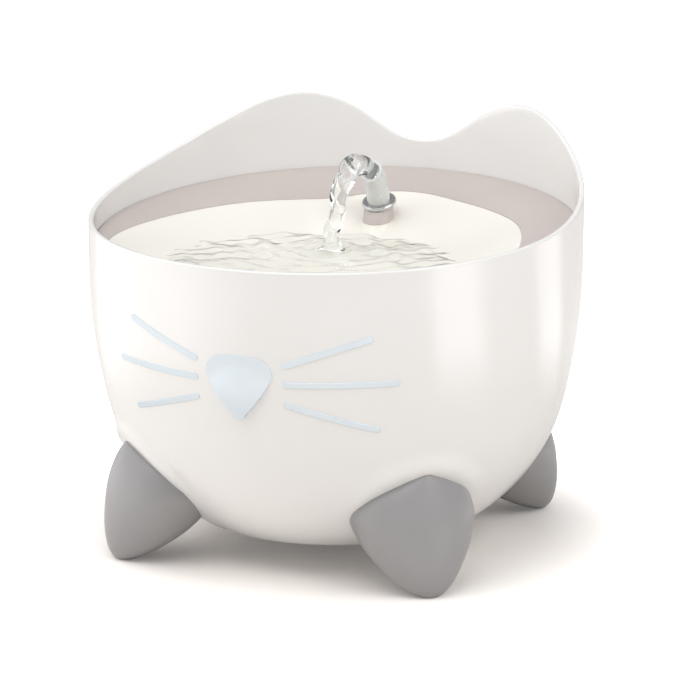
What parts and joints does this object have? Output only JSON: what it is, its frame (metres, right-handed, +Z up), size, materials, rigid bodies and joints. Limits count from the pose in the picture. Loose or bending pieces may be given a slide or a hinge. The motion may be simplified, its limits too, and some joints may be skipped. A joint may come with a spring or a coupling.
{
  "type": "pet water fountain",
  "caption": "Round belly-shaped pet drinking fountain with two ear points, claw feet, a lift-out tilted drinking tray, a bent spout, and a pump and filter inside.",
  "frame": {"origin": "on the ground, under the centre of the round shell", "axes": "+Z up, the nose and whiskers look along -Y, +X is to the right seen from the front"},
  "size_m": [0.23, 0.23, 0.1938],
  "materials": {
    "white_shell": "gloss",
    "ice_insert": "gloss",
    "grey_foot": "satin",
    "soft_rubber": "matt",
    "steel": "satin",
    "white_inner": "satin",
    "board_green": "matt",
    "lamp_white": "gloss",
    "pump_grey": "satin",
    "core_iron": "matt",
    "copper_coil": "satin",
    "impeller_white": "satin",
    "sponge_black": "matt",
    "foam_white": "matt",
    "taupe_deck": "satin",
    "ivory_basin": "gloss",
    "clear_spout": "gloss"
  },
  "bodies": {
    "root": {"shell": "white_shell", "nose_lens": "ice_insert", "whisker_left_upper": "ice_insert", "whisker_left_middle": "ice_insert", "whisker_left_lower": "ice_insert", "whisker_right_upper": "ice_insert", "whisker_right_middle": "ice_insert", "whisker_right_lower": "ice_insert", "cord_grommet": "soft_rubber", "foot_front_right": "grey_foot", "foot_front_left": "grey_foot", "foot_rear_right": "grey_foot", "foot_rear_left": "grey_foot", "foot_pad_front_right": "soft_rubber", "foot_pad_front_left": "soft_rubber", "foot_pad_rear_right": "soft_rubber", "foot_pad_rear_left": "soft_rubber", "foot_screws": "steel", "light_housing": "white_inner", "light_gasket": "soft_rubber", "light_board": "board_green", "light_lamps": "lamp_white", "riser_pipe": "white_inner", "riser_seal": "soft_rubber", "pump_housing": "pump_grey", "motor_cap": "pump_grey", "stator_core": "core_iron", "motor_coil": "copper_coil", "rotor_shaft": "steel", "front_bush": "soft_rubber", "back_bush": "soft_rubber", "pump_cover": "pump_grey", "cover_screws": "steel", "intake_sponge": "sponge_black", "suction_cup_1": "soft_rubber", "suction_cup_2": "soft_rubber", "suction_cup_3": "soft_rubber", "suction_cup_4": "soft_rubber"},
    "tray": {"tray_deck": "taupe_deck", "tray_basin": "ivory_basin", "spout_collar": "steel"},
    "spout": {"spout_tube": "clear_spout"},
    "filter": {"filter_frame": "white_inner", "filter_foam": "foam_white", "filter_lid": "white_inner"},
    "rotor": {"impeller": "impeller_white", "rotor_magnet": "core_iron"},
    "dial": {"flow_dial": "pump_grey"}
  },
  "joints": [
    {"name": "tray_lift", "type": "slide", "parent": "root", "child": "tray", "axis": [0, 0, 1], "range_m": [0, 0.1]},
    {"name": "spout_swivel", "type": "hinge", "parent": "tray", "child": "spout", "pos_m": [0, 0.055, 0.1502], "axis": [0, -0.3746, 0.9272], "range_deg": [-40, 40]},
    {"name": "filter_lift", "type": "slide", "parent": "root", "child": "filter", "axis": [0, 0, 1], "range_m": [0, 0.075]},
    {"name": "impeller_spin", "type": "hinge", "parent": "root", "child": "rotor", "pos_m": [0, 0.045, 0.043], "axis": [0, 1, 0], "continuous": true},
    {"name": "dial_turn", "type": "hinge", "parent": "root", "child": "dial", "pos_m": [0.0203, 0.06, 0.034], "axis": [1, 0, 0], "range_deg": [0, 90]}
  ]
}
